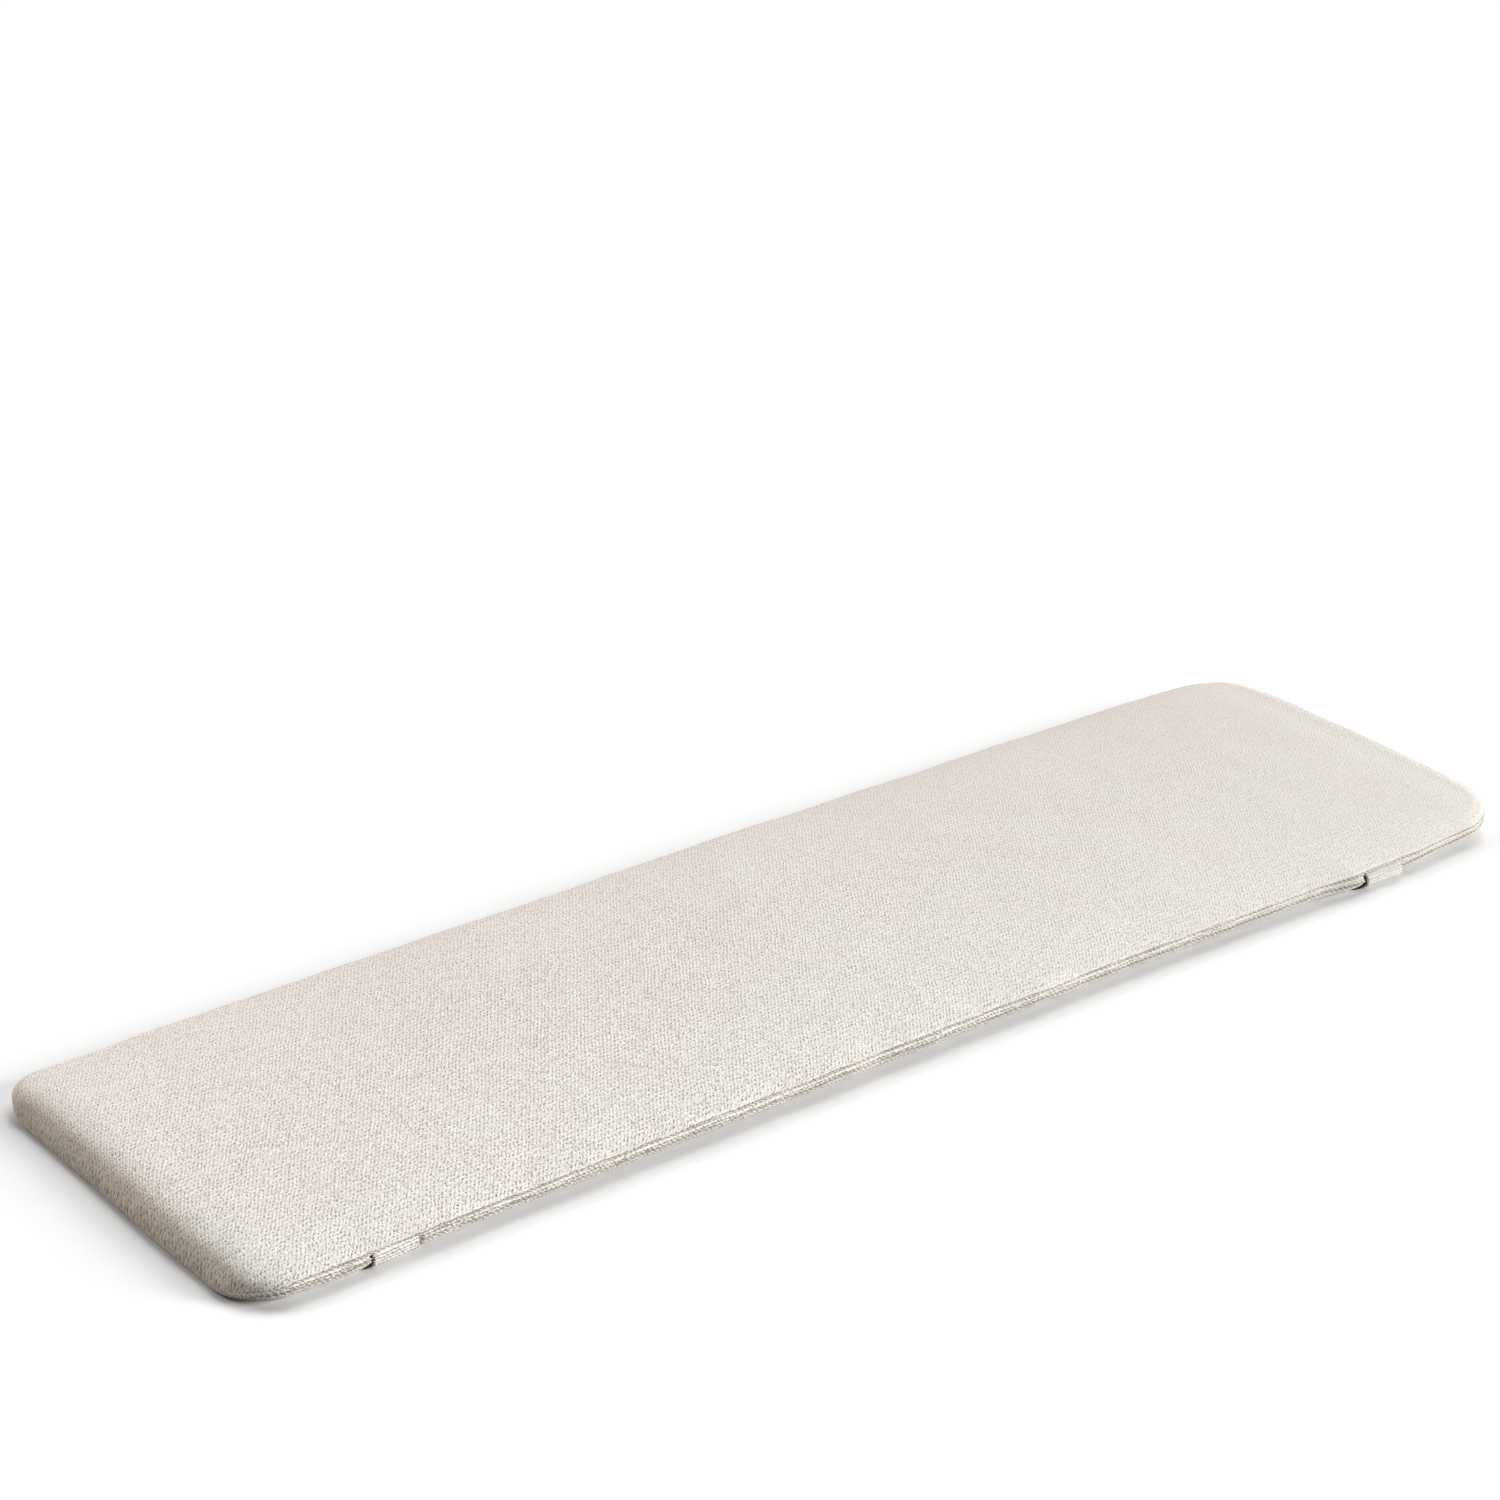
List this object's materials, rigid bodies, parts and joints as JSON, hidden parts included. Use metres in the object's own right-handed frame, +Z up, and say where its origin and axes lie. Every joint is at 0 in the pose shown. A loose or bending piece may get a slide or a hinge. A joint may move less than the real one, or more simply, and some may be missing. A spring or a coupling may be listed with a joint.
{
  "type": "bench cushion",
  "caption": "Long thin filled bench cushion in woven cloth, rounded corners, seam round the lower side, and cloth fastening straps at the near long edge.",
  "frame": {"origin": "the middle of the cushion's flat underside", "axes": "+X along the length, +Y from the near edge with the straps to the far edge, +Z up through the thickness"},
  "size_m": [1.2055, 0.3596, 0.0266],
  "materials": {
    "cushion_cloth": "matt, chunky oatmeal-white basket-like weave",
    "dark_tape": "matt near-black woven tape"
  },
  "bodies": {
    "root": {"cushion": "cushion_cloth", "strap_left": "cushion_cloth", "strap_right": "cushion_cloth", "tape_left": "dark_tape", "tape_right": "dark_tape"}
  },
  "joints": []
}
